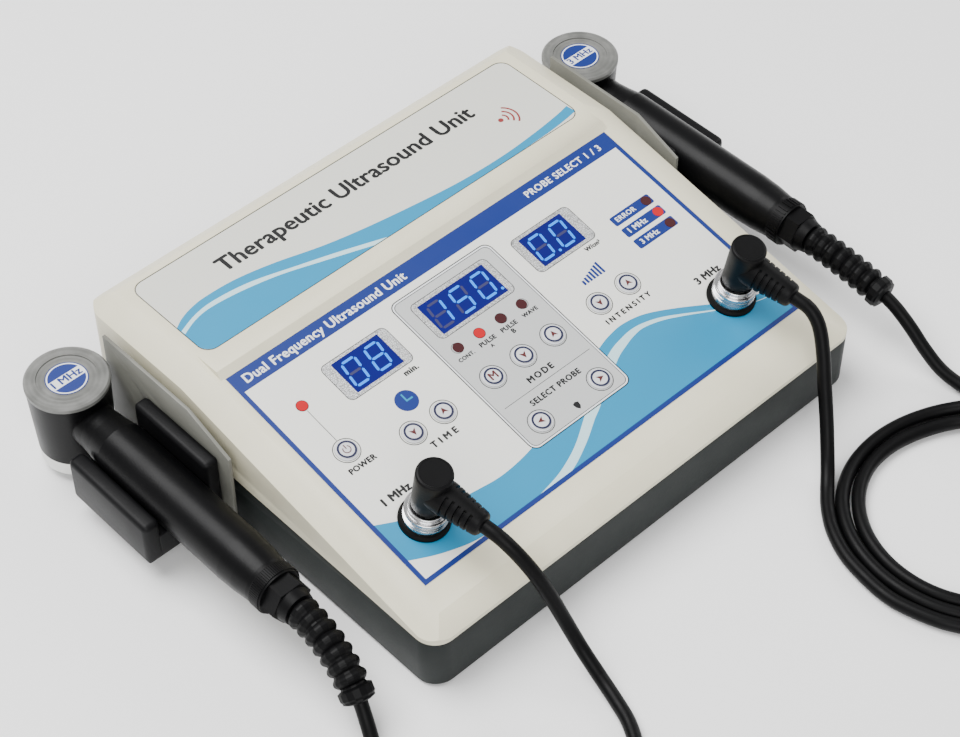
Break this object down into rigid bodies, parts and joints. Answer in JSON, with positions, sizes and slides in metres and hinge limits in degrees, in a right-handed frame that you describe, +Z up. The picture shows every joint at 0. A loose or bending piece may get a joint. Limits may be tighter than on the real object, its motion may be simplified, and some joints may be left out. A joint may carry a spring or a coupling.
{
  "type": "ultrasound therapy device",
  "caption": "Desktop ultrasound therapy console with a sloping key and display panel, angled plugs, coiled leads and treatment handsets resting in side cradles.",
  "frame": {"origin": "on the table, under the middle of the console with its side cradles", "axes": "+Z up, operator's side at -Y, +X to the operator's right"},
  "size_m": [0.3665, 0.3735, 0.0763],
  "materials": {
    "tray_plastic": "fine grain",
    "case_plastic": "fine grain",
    "black_rubber": "matte",
    "screw_steel": "turned",
    "label_film": "printed film",
    "window_film": "clear tinted film",
    "display_body": "moulded",
    "lamp_lens": "diffused lens",
    "circuit_board": "solder resist",
    "black_plastic": "moulded",
    "grey_plastic": "moulded",
    "core_steel": "varnished laminations",
    "sink_aluminium": "extruded",
    "fuse_glass": "clear",
    "rocker_plastic": "moulded",
    "bright_metal": "plated",
    "core_metal": "turned",
    "bracket_metal": "powder coat",
    "lead_sheath": "satin",
    "soft_black": "satin",
    "handset_plastic": "fine grain",
    "disc_plastic": "moulded",
    "face_aluminium": "fine turned",
    "piezo_ceramic": "silvered ceramic",
    "key_plastic": "domed film"
  },
  "bodies": {
    "console": {"lower_case": "tray_plastic", "upper_case": "case_plastic", "rubber_feet": "black_rubber", "screws": "screw_steel", "title_label": "label_film", "control_overlay": "label_film", "display_windows": "window_film", "display_modules": "display_body", "status_lamps": "lamp_lens", "control_board": "circuit_board", "tact_switches": "black_plastic", "power_board": "circuit_board", "mains_transformer": "core_steel", "heat_sink": "sink_aluminium", "ribbon_cable": "grey_plastic", "mains_inlet": "black_plastic", "fuse_holder": "black_plastic", "mains_fuse": "fuse_glass", "rocker_frame": "black_plastic", "panel_sockets": "bright_metal", "socket_washers": "black_rubber", "side_brackets": "bracket_metal", "cradle_left": "black_plastic", "cradle_right": "black_plastic", "lead_left": "lead_sheath", "lead_left_coil": "lead_sheath", "lead_right": "lead_sheath", "lead_right_coil": "lead_sheath"},
    "key_power": {"key_power": "key_plastic"},
    "key_time_down": {"key_time_down": "key_plastic"},
    "key_time_up": {"key_time_up": "key_plastic"},
    "key_menu": {"key_menu": "key_plastic"},
    "key_mode_down": {"key_mode_down": "key_plastic"},
    "key_mode_up": {"key_mode_up": "key_plastic"},
    "key_probe_down": {"key_probe_down": "key_plastic"},
    "key_probe_up": {"key_probe_up": "key_plastic"},
    "key_level_down": {"key_level_down": "key_plastic"},
    "key_level_up": {"key_level_up": "key_plastic"},
    "fuse_cap": {"fuse_cap": "black_plastic"},
    "rocker_key": {"rocker_key": "rocker_plastic"},
    "plug_left": {"plug_left": "soft_black", "plug_core_left": "core_metal"},
    "ring_left": {"ring_left": "bright_metal"},
    "plug_right": {"plug_right": "soft_black", "plug_core_right": "core_metal"},
    "ring_right": {"ring_right": "bright_metal"},
    "handset_left": {"head_left": "handset_plastic", "head_cap_left": "disc_plastic", "treatment_face_left": "face_aluminium", "crystal_left": "piezo_ceramic", "handle_left": "handset_plastic", "gland_left": "soft_black", "strain_relief_left": "soft_black"},
    "handset_right": {"head_right": "handset_plastic", "head_cap_right": "disc_plastic", "treatment_face_right": "face_aluminium", "crystal_right": "piezo_ceramic", "handle_right": "handset_plastic", "gland_right": "soft_black", "strain_relief_right": "soft_black"}
  },
  "joints": [
    {"name": "press_power", "type": "slide", "parent": "console", "child": "key_power", "axis": [0, 0.1908, -0.9816], "range_m": [0, 0.0004], "stiffness_N_per_m": 800},
    {"name": "press_time_down", "type": "slide", "parent": "console", "child": "key_time_down", "axis": [0, 0.1908, -0.9816], "range_m": [0, 0.0004], "stiffness_N_per_m": 800},
    {"name": "press_time_up", "type": "slide", "parent": "console", "child": "key_time_up", "axis": [0, 0.1908, -0.9816], "range_m": [0, 0.0004], "stiffness_N_per_m": 800},
    {"name": "press_menu", "type": "slide", "parent": "console", "child": "key_menu", "axis": [0, 0.1908, -0.9816], "range_m": [0, 0.0004], "stiffness_N_per_m": 800},
    {"name": "press_mode_down", "type": "slide", "parent": "console", "child": "key_mode_down", "axis": [0, 0.1908, -0.9816], "range_m": [0, 0.0004], "stiffness_N_per_m": 800},
    {"name": "press_mode_up", "type": "slide", "parent": "console", "child": "key_mode_up", "axis": [0, 0.1908, -0.9816], "range_m": [0, 0.0004], "stiffness_N_per_m": 800},
    {"name": "press_probe_down", "type": "slide", "parent": "console", "child": "key_probe_down", "axis": [0, 0.1908, -0.9816], "range_m": [0, 0.0004], "stiffness_N_per_m": 800},
    {"name": "press_probe_up", "type": "slide", "parent": "console", "child": "key_probe_up", "axis": [0, 0.1908, -0.9816], "range_m": [0, 0.0004], "stiffness_N_per_m": 800},
    {"name": "press_level_down", "type": "slide", "parent": "console", "child": "key_level_down", "axis": [0, 0.1908, -0.9816], "range_m": [0, 0.0004], "stiffness_N_per_m": 800},
    {"name": "press_level_up", "type": "slide", "parent": "console", "child": "key_level_up", "axis": [0, 0.1908, -0.9816], "range_m": [0, 0.0004], "stiffness_N_per_m": 800},
    {"name": "turn_fuse_cap", "type": "hinge", "parent": "console", "child": "fuse_cap", "pos_m": [-0.022, 0.1075, 0.043], "axis": [0, 1, 0], "range_deg": [0, 90]},
    {"name": "rock_mains_switch", "type": "hinge", "parent": "console", "child": "rocker_key", "pos_m": [0.012, 0.1041, 0.043], "axis": [0, 0, 1], "range_deg": [-18, 0]},
    {"name": "pull_plug_left", "type": "slide", "parent": "console", "child": "plug_left", "axis": [0, -0.1908, 0.9816], "range_m": [0, 0.012]},
    {"name": "turn_ring_left", "type": "hinge", "parent": "plug_left", "child": "ring_left", "pos_m": [-0.09, -0.06732, 0.04215], "axis": [0, -0.1908, 0.9816], "range_deg": [0, 90]},
    {"name": "pull_plug_right", "type": "slide", "parent": "console", "child": "plug_right", "axis": [0, -0.1908, 0.9816], "range_m": [0, 0.012]},
    {"name": "turn_ring_right", "type": "hinge", "parent": "plug_right", "child": "ring_right", "pos_m": [0.09, -0.06732, 0.04215], "axis": [0, -0.1908, 0.9816], "range_deg": [0, 90]},
    {"name": "lift_handset_left", "type": "slide", "parent": "console", "child": "handset_left", "axis": [0, 0, 1], "range_m": [0, 0.045]},
    {"name": "lift_handset_right", "type": "slide", "parent": "console", "child": "handset_right", "axis": [0, 0, 1], "range_m": [0, 0.045]}
  ]
}
